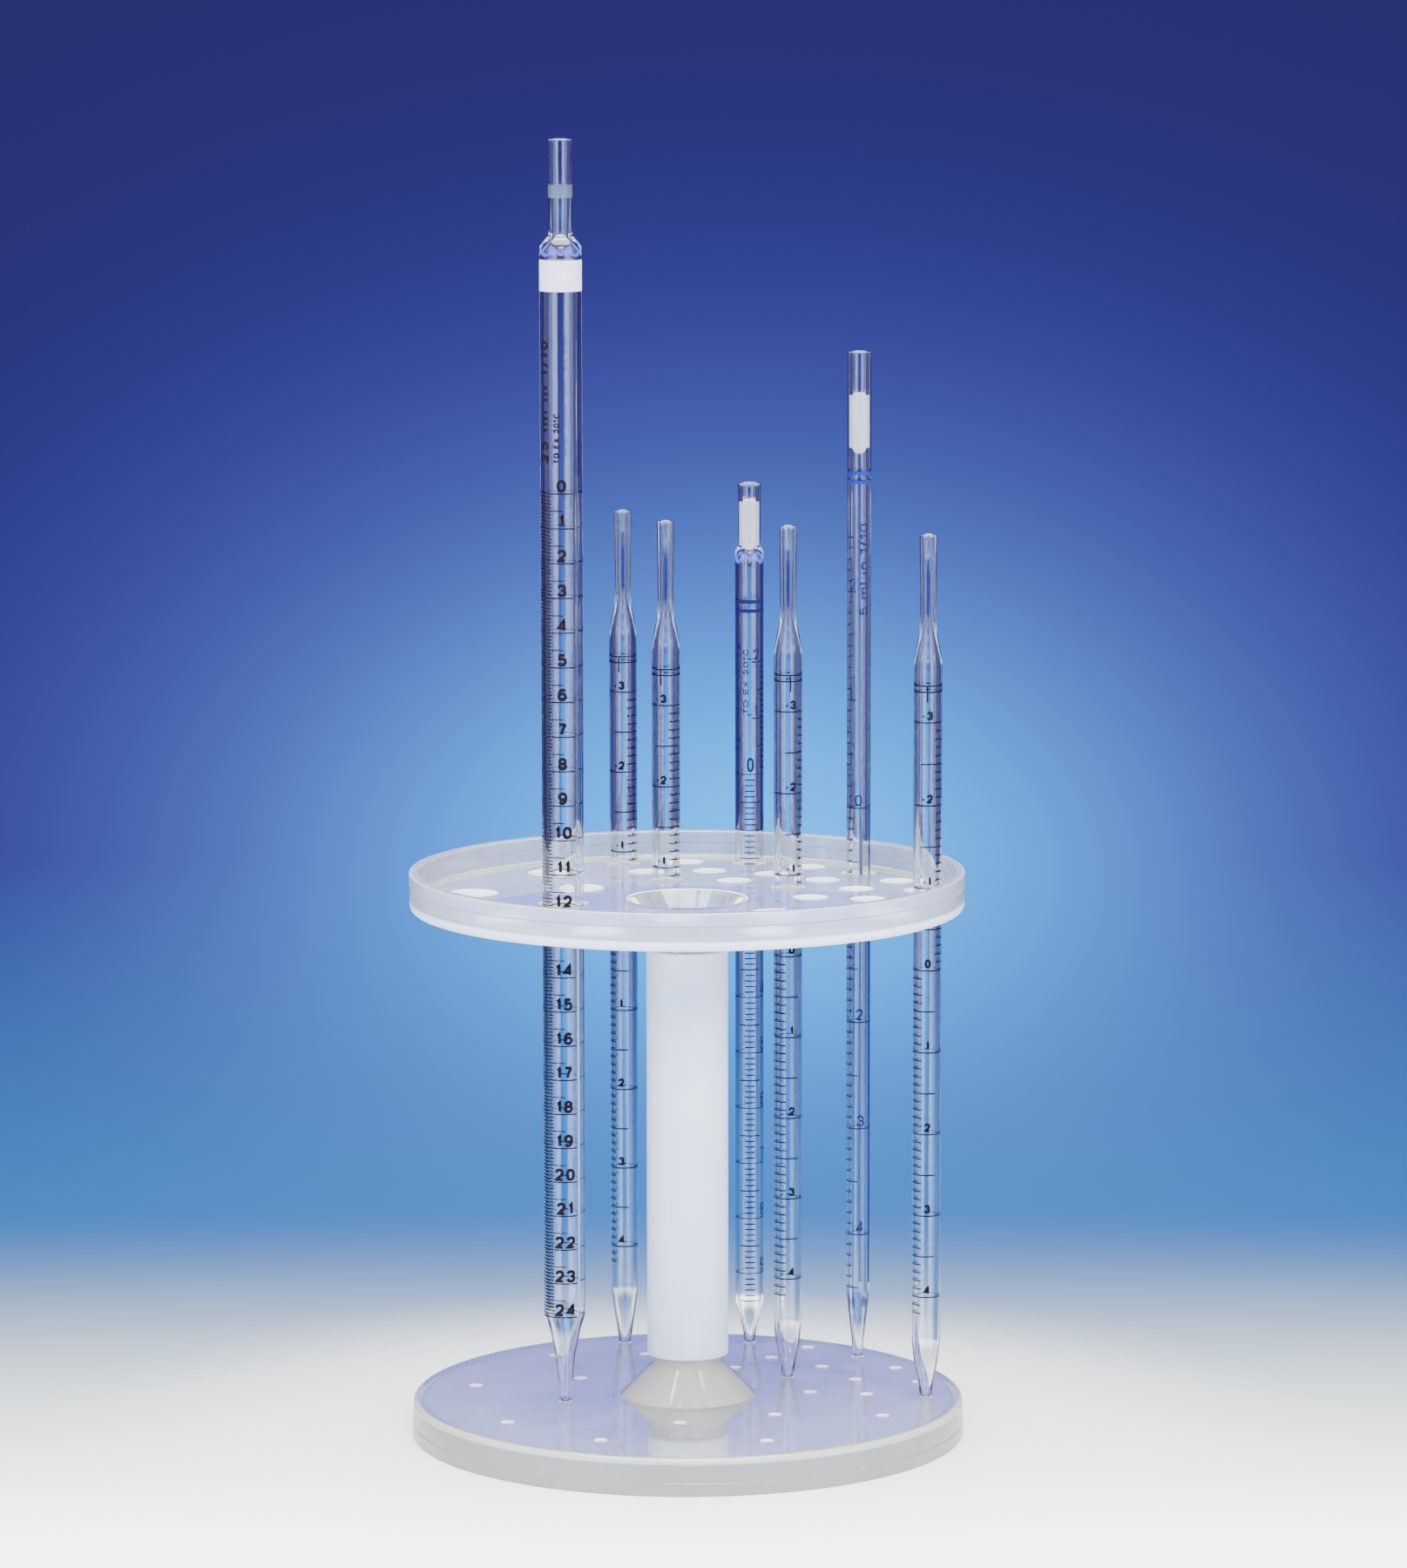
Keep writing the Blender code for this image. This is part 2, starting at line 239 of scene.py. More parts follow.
def tube_plastic():
    """The white centre tube: satin, drawn lengthwise, with soft clouds."""
    made, tree, shader, coords = new_material(
        "tube_plastic", IOR=1.49, Subsurface_Weight=0.7, Subsurface_Scale=0.005,
        Subsurface_Radius=(1.0, 0.98, 0.92),
    )
    drawn = noise_of(tree, scaled(tree, coords, 900.0, 900.0, 14.0), 1.0, 3.0, 0.6)
    clouds = noise_of(tree, scaled(tree, coords, 60.0, 60.0, 25.0), 1.0, 3.0)
    colour = blend_colours(
        tree, remap(tree, clouds, 0.3, 0.7, 0.0, 1.0, True), (0.77, 0.775, 0.69), (0.83, 0.835, 0.75)
    )
    streaks = remap(tree, drawn, 0.62, 0.78, 0.0, 0.22)
    tree.links.new(
        blend_colours(tree, streaks, colour, (0.72, 0.725, 0.64)), shader.inputs["Base Color"]
    )
    tree.links.new(remap(tree, drawn, 0.3, 0.7, 0.34, 0.48), shader.inputs["Roughness"])
    add_bump(tree, shader, drawn, 0.00003)
    return made


def clear_glass():
    """Clear drawn tubing with faint draw lines and finger haze."""
    made, tree, shader, coords = new_material(
        "clear_glass", IOR=1.47, Transmission_Weight=1.0
    )
    haze = noise_of(tree, scaled(tree, coords, 120.0, 120.0, 30.0), 1.0, 3.0)
    lines = noise_of(tree, scaled(tree, coords, 1400.0, 1400.0, 6.0), 1.0, 2.0)
    tree.links.new(
        blend_colours(tree, haze, (0.965, 0.975, 0.98), (0.995, 1.0, 1.0)), shader.inputs["Base Color"]
    )
    tree.links.new(remap(tree, haze, 0.5, 0.8, 0.0, 0.012), shader.inputs["Roughness"])
    add_bump(tree, shader, lines, 0.0000006)
    return made


def print_ink(name, dark, light):
    """Screen-printed, fired-on ink: a little uneven in density and gloss."""
    made, tree, shader, coords = new_material(name, Specular_IOR_Level=0.08)
    grain = noise_of(tree, coords, 2600.0, 2.0)
    wear = noise_of(tree, coords, 240.0, 3.0)
    share = maths(
        tree, "ADD", remap(tree, grain, 0.35, 0.75, 0.0, 0.45), remap(tree, wear, 0.5, 0.8, 0.0, 0.5)
    )
    tree.links.new(blend_colours(tree, share, dark, light), shader.inputs["Base Color"])
    tree.links.new(remap(tree, grain, 0.3, 0.7, 0.35, 0.6), shader.inputs["Roughness"])
    add_bump(tree, shader, grain, 0.00001)
    return made


def frosted_ring():
    """A translucent white ring burnt into the mouth tube."""
    made, tree, shader, coords = new_material(
        "frosted_enamel", IOR=1.5, Transmission_Weight=0.85, Subsurface_Weight=0.3,
        Subsurface_Scale=0.001,
    )
    grain = noise_of(tree, coords, 1800.0, 3.0)
    # The ring's colour is a dark blue-grey rather than white: painted shade with the backdrop's blue,
    # standing in for its dim see-through look.
    tree.links.new(
        blend_colours(tree, grain, (0.24, 0.28, 0.38), (0.36, 0.40, 0.50)), shader.inputs["Base Color"]
    )
    tree.links.new(remap(tree, grain, 0.3, 0.7, 0.4, 0.6), shader.inputs["Roughness"])
    add_bump(tree, shader, grain, 0.00002)
    return made


def fibre(name, dark, light, sheen):
    """Packed fibre: fine lengthwise strands with soft darker gaps."""
    made, tree, shader, coords = new_material(
        name, Sheen_Weight=sheen, Sheen_Roughness=0.4, Sheen_Tint=(*light, 1.0),
        Subsurface_Weight=0.3, Subsurface_Scale=0.001,
    )
    strands = noise_of(tree, scaled(tree, coords, 5200.0, 5200.0, 700.0), 1.0, 3.0, 0.6, 1.2)
    clumps = noise_of(tree, coords, 900.0, 3.0)
    share = maths(
        tree, "MULTIPLY", remap(tree, strands, 0.3, 0.65, 0.25, 1.0), remap(tree, clumps, 0.25, 0.6, 0.6, 1.0)
    )
    tree.links.new(blend_colours(tree, share, dark, light), shader.inputs["Base Color"])
    tree.links.new(remap(tree, strands, 0.3, 0.7, 0.8, 0.95), shader.inputs["Roughness"])
    add_bump(tree, shader, strands, 0.00012)
    return made


PLASTIC = natural_plastic()
CUT = cut_plastic()
TUBE = tube_plastic()
GLASS = clear_glass()
BLACK_INK = print_ink("black_ink", (0.003, 0.003, 0.004), (0.014, 0.012, 0.014))
BROWN_INK = print_ink("brown_black_ink", (0.006, 0.003, 0.003), (0.022, 0.012, 0.012))
NAVY_INK = print_ink("navy_ink", (0.004, 0.005, 0.05), (0.012, 0.016, 0.11))
BLUE_INK = print_ink("blue_enamel", (0.008, 0.016, 0.17), (0.02, 0.04, 0.26))
WHITE_INK = print_ink("white_enamel", (0.62, 0.63, 0.61), (0.72, 0.73, 0.71))
STRIPE_INK = print_ink("stripe_enamel", (0.03, 0.06, 0.34), (0.055, 0.11, 0.45))
FROSTED = frosted_ring()
COTTON = fibre("white_cotton", (0.86, 0.85, 0.82), (0.98, 0.975, 0.96), 0.5)
# The short pipettes' plugs are painted dark navy: the backdrop's blue seen darkened through the neck, painted
# onto the fibre.
PAINTED_NAVY_FIBRE = fibre("painted_navy_fibre", (0.008, 0.012, 0.12), (0.02, 0.035, 0.26), 0.1)


# ---------------------------------------------------------------- mesh helpers

def make_object(name, mesh, *materials, sharp=35.0):
    """An object from a bmesh, smooth except across edges sharper than an angle."""
    data = bpy.data.meshes.new(name)
    bmesh.ops.recalc_face_normals(mesh, faces=mesh.faces[:])
    mesh.to_mesh(data)
    mesh.free()
    for material in materials:
        data.materials.append(material)
    data.shade_smooth()
    data.set_sharp_from_angle(angle=math.radians(sharp))
    made = bpy.data.objects.new(name, data)
    bpy.context.scene.collection.objects.link(made)
    return made


def revolve(mesh, outline, steps, centre=(0.0, 0.0), base=0.0, shape=None):
    """Turn a closed (radius, height) outline in millimetres about an upright axis.

    shape, if given, moves each point: it takes (angle, radius, height) in millimetres and
    returns the new radius and height.
    """
    rings = []
    for radius, height in outline:
        count = steps if radius > 0.0 else 1
        ring = []
        for i in range(count):
            angle = 2.0 * math.pi * i / count
            r, h = shape(angle, radius, height) if shape else (radius, height)
            ring.append(mesh.verts.new((
                centre[0] + r * MM * math.cos(angle),
                centre[1] + r * MM * math.sin(angle),
                base + h * MM,
            )))
        rings.append(ring)
    pairs = list(zip(rings, rings[1:]))
    if outline[0][0] > 0.0:
        pairs.append((rings[-1], rings[0]))
    for upper, lower in pairs:
        for i in range(steps):
            k = (i + 1) % steps
            if len(upper) == 1:
                mesh.faces.new((upper[0], lower[i], lower[k]))
            elif len(lower) == 1:
                mesh.faces.new((upper[i], lower[0], upper[k]))
            else:
                mesh.faces.new((upper[i], lower[i], lower[k], upper[k]))
    return rings


def rounded(corners, steps=5):
    """A closed outline from (radius, height, fillet) corners, each fillet an arc."""
    points = []
    count = len(corners)
    for i, (x, y, fillet) in enumerate(corners):
        here = Vector((x, y))
        if fillet <= 0.0:
            points.append((x, y))
            continue
        before = (Vector(corners[i - 1][:2]) - here).normalized()
        after = (Vector(corners[(i + 1) % count][:2]) - here).normalized()
        half = before.angle(after) / 2.0
        reach = fillet / math.tan(half)
        middle = here + (before + after).normalized() * (fillet / math.sin(half))
        start = here + before * reach - middle
        end = here + after * reach - middle
        turn = start.angle_signed(end)
        for k in range(steps + 1):
            arm = start.copy()
            arm.rotate(Matrix.Rotation(-turn * k / steps, 2))
            points.append(tuple(middle + arm))
    return points


def flipped(outline, height):
    """A section turned over, kept running the same way round."""
    return [(radius, height - z) for radius, z in reversed(outline)]


def smooth_run(points, spacing=1.0):
    """Points of a smooth curve through (radius, height) stations with falling heights.

    Slopes are limited so that the curve never overshoots.  A straight stretch only has rings close
    to its ends, so that its shading stays straight.
    """
    z = np.array([-p[1] for p in points])
    r = np.array([p[0] for p in points])
    step = np.diff(z)
    slope = np.diff(r) / step
    tangent = np.zeros(len(z))
    for i in range(1, len(z) - 1):
        if slope[i - 1] * slope[i] > 0.0:
            w1, w2 = 2 * step[i] + step[i - 1], step[i] + 2 * step[i - 1]
            tangent[i] = (w1 + w2) / (w1 / slope[i - 1] + w2 / slope[i])
    tangent[0], tangent[-1] = slope[0], slope[-1]
    run = [points[0]]
    for i in range(len(step)):
        count = max(1, int(math.ceil(step[i] / spacing)))
        shares = [k / count for k in range(1, count + 1)]
        if abs(slope[i]) < 0.02 and step[i] > 4.0:
            shares = [0.15 / step[i], 1.0 / step[i], 0.5, 1.0 - 1.0 / step[i], 1.0 - 0.15 / step[i], 1.0]
        for t in shares:
            value = (
                (2 * t**3 - 3 * t**2 + 1) * r[i] + (t**3 - 2 * t**2 + t) * step[i] * tangent[i]
                + (3 * t**2 - 2 * t**3) * r[i + 1] + (t**3 - t**2) * step[i] * tangent[i + 1]
            )
            run.append((float(value), float(-(z[i] + step[i] * t))))
    return run


def arc(centre, radius, start, end, steps):
    """Points of a circular arc in the section, angles in degrees from +radius."""
    return [
        (
            centre[0] + radius * math.cos(math.radians(start + (end - start) * k / steps)),
            centre[1] + radius * math.sin(math.radians(start + (end - start) * k / steps)),
        )
        for k in range(steps + 1)
    ]


def centre_of(node):
    """Plan centre of a CAD node."""
    low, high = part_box(node)
    return (low.x + high.x) / 2.0, (low.y + high.y) / 2.0


# ---------------------------------------------------------------- stand

DISH_STEPS = 192
SMALL_HOLE_R, LARGE_HOLE_R, TIP_HOLE_R = 5.87, 8.8, 2.15
DISH_H, PLATE = 13.56, 3.4
DISH_R = (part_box("base_dish")[1].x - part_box("base_dish")[0].x) / 2.0 / MM
BOSS_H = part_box("base_dish")[1].z / MM
TRAY_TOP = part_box("tray_dish")[1].z / MM

# Section corners of a dish with its rim at 0 and its boss up: (radius, height, fillet)
DISH = rounded([
    (9.4, BOSS_H, 0.5),
    (11.8, BOSS_H, 0.5),
    (11.8, BOSS_H - 12.0, 0.2),
    (12.5, BOSS_H - 12.0, 0.35),
    (12.5, BOSS_H - 14.7, 0.5),
    (24.3, DISH_H, 0.4),
    (DISH_R - 0.2, DISH_H, 2.2),
    (DISH_R - 0.2, 4.9, 0.12),
    (DISH_R, 4.5, 0.12),
    (DISH_R, 0.0, 0.5),
    (DISH_R - 3.7, 0.0, 0.5),
    (DISH_R - 3.7, DISH_H - PLATE, 1.6),
    (21.2, DISH_H - PLATE, 0.7),
    (9.4, BOSS_H - 17.7, 1.2),
], 6)


def hole_places():
    """(x, y, radius) of every hole in the tray's plate, in metres and millimetres."""
    places = []
    for opening in RECORD["physics"]["openings"]:
        if "_hole_" in opening["name"]:
            low, high = opening["box_m"]
            size = SMALL_HOLE_R if opening["name"].startswith("small") else LARGE_HOLE_R
            places.append(((low[0] + high[0]) / 2.0, (low[1] + high[1]) / 2.0, size))
    for name in PIPETTES:
        size = LARGE_HOLE_R if name == "25ml" else SMALL_HOLE_R
        places.append((*centre_of("pipette_" + name), size))
    return places


def drill(piece, holes, low, high, flare, steps):
    """Cut holes with broken edges through a plate between two heights in millimetres."""
    mesh = bmesh.new()
    over = 1.0
    for x, y, radius in holes:
        outline = [
            (0.0, high + over), (radius + flare + over, high + over), (radius + flare, high),
            (radius + flare * 0.3, high - flare * 0.35), (radius, high - flare),
            (radius, low + flare), (radius + flare * 0.3, low + flare * 0.35),
            (radius + flare, low), (radius + flare + over, low - over), (0.0, low - over),
        ]
        revolve(mesh, outline, steps, (x, y))
    cutter = make_object("cutter", mesh, CUT)
    cutting = piece.modifiers.new("Holes", "BOOLEAN")
    cutting.operation = "DIFFERENCE"
    cutting.solver = "EXACT"
    cutting.material_mode = "TRANSFER"
    cutting.object = cutter
    weight = piece.modifiers.new("Normals", "WEIGHTED_NORMAL")
    weight.keep_sharp = True
    weight.weight = 100
    bpy.context.view_layer.update()
    graph = bpy.context.evaluated_depsgraph_get()
    data = bpy.data.meshes.new_from_object(piece.evaluated_get(graph))
    piece.modifiers.clear()
    piece.data = data
    data.name = piece.name
    bpy.data.objects.remove(cutter)


def build_stand():
    """Base dish, centre tube and tray dish."""
    holes = hole_places()

    mesh = bmesh.new()
    revolve(mesh, DISH, DISH_STEPS)
    base = make_object("base_dish_moulded", mesh, PLASTIC)
    drill(base, [(x, y, TIP_HOLE_R) for x, y, _ in holes], DISH_H - PLATE, DISH_H, 0.3, 32)
    finish_piece(base, "base", "base_dish")

    low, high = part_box("column_tube")
    mesh = bmesh.new()
    corners = [
        (12.1, high.z / MM, 0.2), (14.57, high.z / MM, 0.45),
        (14.57, low.z / MM, 0.45), (12.1, low.z / MM, 0.2),
    ]
    revolve(mesh, rounded(corners, 5), 128)
    column = make_object("column_drawn_tube", mesh, TUBE)
    finish_piece(column, "column", "column_tube")

    mesh = bmesh.new()
    revolve(mesh, flipped(DISH, TRAY_TOP), DISH_STEPS)
    tray = make_object("tray_dish_moulded", mesh, PLASTIC)
    floor = TRAY_TOP - DISH_H
    drill(tray, holes, floor, floor + PLATE, 0.35, 64)
    finish_piece(tray, "tray", "tray_dish")


def finish_piece(piece, body, node=None):
    """Tie a piece to its body and hide the CAD node that it stands for."""
    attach(piece, body)
    if node:
        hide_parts(node)


# ---------------------------------------------------------------- pipettes

# Stations (radius, height above the tip's end) down the outside and down the bore, millimetres.
KINDS = {
    "25ml": {
        "out": [
            (4.2, 449.2), (4.2, 418.2), (4.3, 416.6), (4.7, 415.7), (5.7, 414.8), (6.7, 413.8),
            (7.25, 412.6), (7.4, 411.0), (7.4, 34.5), (7.2, 31.8), (5.48, 25.8), (4.33, 19.7),
            (3.43, 15.3), (2.98, 10.6), (2.6, 6.0), (2.42, 0.9),
        ],
        "bore": [
            (2.6, 449.2), (2.6, 440.0), (2.35, 428.0), (2.05, 420.6), (2.0, 417.2), (2.5, 414.8),
            (3.7, 412.9), (4.8, 410.8), (5.1, 408.6), (5.1, 34.5), (4.9, 31.8), (3.6, 25.8),
            (2.65, 19.7), (2.0, 15.3), (1.6, 10.6), (1.25, 6.0), (1.0, 0.6),
        ],
        "lip": 0.16, "tip": 0.7,
    },
    "10ml": {
        "out": [
            (4.25, 320.0), (4.12, 316.5), (4.1, 302.0), (4.0, 298.2), (4.02, 297.5), (4.3, 297.0),
            (4.75, 296.4), (5.08, 295.5), (5.2, 294.3), (5.2, 18.0), (5.15, 14.6), (3.73, 9.1), (2.77, 5.8),
            (2.2, 2.5), (1.95, 0.6),
        ],
        "bore": [
            (2.5, 320.0), (2.45, 316.0), (2.45, 298.0), (2.6, 296.2), (3.1, 294.6), (3.7, 292.4),
            (3.95, 290.4), (3.95, 18.0),
            (3.8, 14.6), (2.45, 9.1), (1.6, 5.8), (1.05, 2.5), (0.8, 0.4),
        ],
        "lip": 0.14, "tip": 0.5,
    },
    "5ml_long": {
        "out": [
            (4.3, 369.9), (4.3, 24.8), (4.26, 23.0), (3.85, 18.8), (3.48, 15.5), (3.0, 12.3),
            (2.25, 5.8), (1.95, 0.6),
        ],
        "bore": [
            (2.45, 369.9), (2.45, 24.8), (2.42, 23.0), (2.25, 18.8), (2.0, 15.5), (1.7, 12.3),
            (1.05, 5.8), (0.75, 0.4),
        ],
        "lip": 0.14, "tip": 0.5,
    },
    "5ml_short": {
        "out": [
            (3.15, 310.1), (3.0, 299.0), (2.85, 287.0), (2.85, 281.5), (3.15, 276.5),
            (4.1, 271.0), (4.75, 267.2), (5.03, 264.0), (5.05, 262.5), (5.05, 21.0), (4.97, 19.0),
            (4.34, 13.3), (3.3, 7.5), (2.35, 1.8), (2.2, 0.6),
        ],
        "bore": [
            (1.35, 310.1), (1.15, 305.0), (0.95, 301.0), (0.85, 296.0), (0.85, 283.0), (1.05, 279.0),
            (1.75, 274.0), (2.7, 269.0), (3.2, 265.0), (3.3, 262.5), (3.3, 21.0), (3.2, 19.0), (2.65, 13.3),
            (1.75, 7.5), (0.95, 1.8), (0.8, 0.4),
        ],
        "lip": 0.12, "tip": 0.5,
    },
}
GLASS_STEPS = 96


def kind_of(name):
    """The kind of a numbered short pipette, or the name itself."""
    return "5ml_short" if name.startswith("5ml_short") else name


def build_glass(name):
    """The double-walled glass of one pipette, mouth and tip fire-polished."""
    kind = KINDS[kind_of(name)]
    low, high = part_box("pipette_" + name)
    length = (high.z - low.z) / MM
    outside, inside = smooth_run(kind["out"]), smooth_run(kind["bore"])
    out_r, in_r, lip = outside[0][0], inside[0][0], kind["lip"]
    outside[0] = (out_r, length - lip)
    inside[0] = (in_r, length - lip)
    crown = arc((out_r - lip, length - lip), lip, 90.0, 0.0, 5)[:-1]
    back = arc((in_r + lip, length - lip), lip, 180.0, 90.0, 4)
    round_r = kind["tip"]
    foot = arc((outside[-1][0] - round_r, round_r), round_r, 0.0, -90.0, 5)
    outline = crown + outside[:-1] + foot + inside[::-1][:-1] + back[:-1]
    mesh = bmesh.new()
    revolve(mesh, outline, GLASS_STEPS, centre_of("pipette_" + name), low.z)
    glass = make_object("glass_" + name, mesh, GLASS, sharp=60.0)
    finish_piece(glass, "unit_" + name, "pipette_" + name)


# ---------------------------------------------------------------- print on the glass

INK_IN, INK_OUT = 0.04, 0.03
LINE = 0.42


class Print:
    """Printed marks wrapped round one tube, gathered in one mesh.

    The print straddles the glass surface, so it shows from both sides of the wall.
    """

    def __init__(self, name, radius, turn=0.0):
        self.name, self.radius, self.turn = name, radius, turn
        self.centre = centre_of("pipette_" + name)
        self.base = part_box("pipette_" + name)[0].z
        self.mesh = bmesh.new()

    def place(self, angle, height, depth):
        """World place of an angle in degrees, and a height and depth in millimetres."""
        turned = math.radians(angle + self.turn)
        radius = (self.radius + depth) * MM
        return (
            self.centre[0] + radius * math.sin(turned),
            self.centre[1] - radius * math.cos(turned),
            self.base + height * MM,
        )

    def strip(self, start, end, low, high, inner=INK_IN, outer=INK_OUT, step=5.0):
        """A closed patch from one angle to another, between two heights."""
        whole = end - start >= 359.9
        count = max(2, int(math.ceil((end - start) / step)))
        rows = []
        for i in range(count if whole else count + 1):
            angle = start + (end - start) * i / count
            rows.append([
                self.mesh.verts.new(self.place(angle, height, depth))
                for height, depth in ((high, outer), (low, outer), (low, -inner), (high, -inner))
            ])
        spans = list(zip(rows, rows[1:] + rows[:1])) if whole else list(zip(rows, rows[1:]))
        for first, second in spans:
            for k in range(4):
                m = (k + 1) % 4
                self.mesh.faces.new((first[k], first[m], second[m], second[k]))
        if not whole:
            self.mesh.faces.new(rows[0][::-1])
            self.mesh.faces.new(rows[-1])

    def line(self, start, end, height, width=LINE):
        """A scale line centred on a height."""
        self.strip(start, end, height - width / 2.0, height + width / 2.0)

    def ribbon(self, points, weight, angle, low, upward):
        """One stroke of constant weight along flat points in millimetres."""
        points = [Vector(p) for p in points]
        closed = (points[0] - points[-1]).length < 1e-6
        if closed:
            points.pop()
        count = len(points)
        rows = []
        for i, point in enumerate(points):
            before = points[i - 1] if closed or i else None
            after = points[(i + 1) % count] if closed or i < count - 1 else None
            first = (point - before).normalized() if before else (after - point).normalized()
            second = (after - point).normalized() if after else first
            across = Vector((-(first + second).y, (first + second).x)).normalized()
            reach = weight / 2.0 / max(0.55, across.dot(Vector((-first.y, first.x))))
            row = []
            for side, depth in ((1, INK_OUT), (-1, INK_OUT), (-1, -INK_IN), (1, -INK_IN)):
                x, y = point + across * reach * side
                if upward:
                    x, y = -y, x
                row.append(self.mesh.verts.new(
                    self.place(angle + math.degrees(x / self.radius), low + y, depth)
                ))
            rows.append(row)
        spans = list(zip(rows, rows[1:] + rows[:1])) if closed else list(zip(rows, rows[1:]))
        for first, second in spans:
            for k in range(4):
                m = (k + 1) % 4
                self.mesh.faces.new((first[k], first[m], second[m], second[k]))
        if not closed:
            self.mesh.faces.new(rows[0][::-1])
            self.mesh.faces.new(rows[-1])

    def text(self, words, angle, low, tall, wide, weight, upward=False, length=None):
        """Lettering of single strokes: its low edge, height, digit width and stroke weight.

        Upward lettering reads towards the mouth, from low; its height then runs round the tube,
        and its digit width is fitted to a length.
        """
        gap = 0.2 * wide
        units = sum(GLYPHS[c][0] for c in words)
        if length:
            gap = length * 0.3 / (units + 0.3 * len(words))
            wide = (length - gap * (len(words) - 1)) / units
        span = units * wide + gap * (len(words) - 1)
        pen = 0.0 if upward else -span / 2.0
        drop = tall / 2.0 if upward else 0.0
        for letter in words:
            share, strokes = GLYPHS[letter]
            room_x, room_y = share * wide - weight, tall - weight
            for stroke in strokes:
                flat = [
                    (pen + weight / 2.0 + x * max(room_x, 0.0), y * room_y + weight / 2.0 - drop)
                    for x, y in stroke
                ]
                self.ribbon(finer(flat, 0.45), weight, angle, low, upward)
            pen += share * wide + gap

    def done(self, piece, material):
        """Finish the piece and tie it to its pipette."""
        finish_piece(make_object(piece, self.mesh, material, sharp=40.0), "unit_" + self.name)


def finer(points, longest):
    """Points of a polyline with long stretches divided."""
    run = [points[0]]
    for (x0, y0), (x1, y1) in zip(points, points[1:]):
        count = max(1, int(math.ceil(math.hypot(x1 - x0, y1 - y0) / longest)))
        run += [(x0 + (x1 - x0) * k / count, y0 + (y1 - y0) * k / count) for k in range(1, count + 1)]
    return run


def curve(*points, closed=False, steps=5):
    """A smooth run through points, all round if it is closed."""
    points = [Vector(p) for p in points]
    count = len(points)
    run = []
    for i in range(count if closed else count - 1):
        p1, p2 = points[i], points[(i + 1) % count]
        p0 = points[i - 1] if closed or i else p1 * 2.0 - p2
        p3 = points[(i + 2) % count] if closed or i < count - 2 else p2 * 2.0 - p1
        for k in range(steps):
            t = k / steps
            run.append(tuple(0.5 * (
                p1 * 2.0 + (p2 - p0) * t + (p0 * 2.0 - p1 * 5.0 + p2 * 4.0 - p3) * t * t
                + (p1 * 3.0 - p0 - p2 * 3.0 + p3) * t * t * t
            )))
    return run + [run[0] if closed else tuple(points[-1])]


def loop(x, y, wide, tall, steps=20):
    """A closed ellipse."""
    return [
        (x + wide * math.cos(2.0 * math.pi * k / steps), y + tall * math.sin(2.0 * math.pi * k / steps))
        for k in range(steps + 1)
    ]


SIX = curve((0.92, 0.82), (0.76, 0.97), (0.5, 1.0), (0.2, 0.88), (0.03, 0.6), (0.0, 0.34))
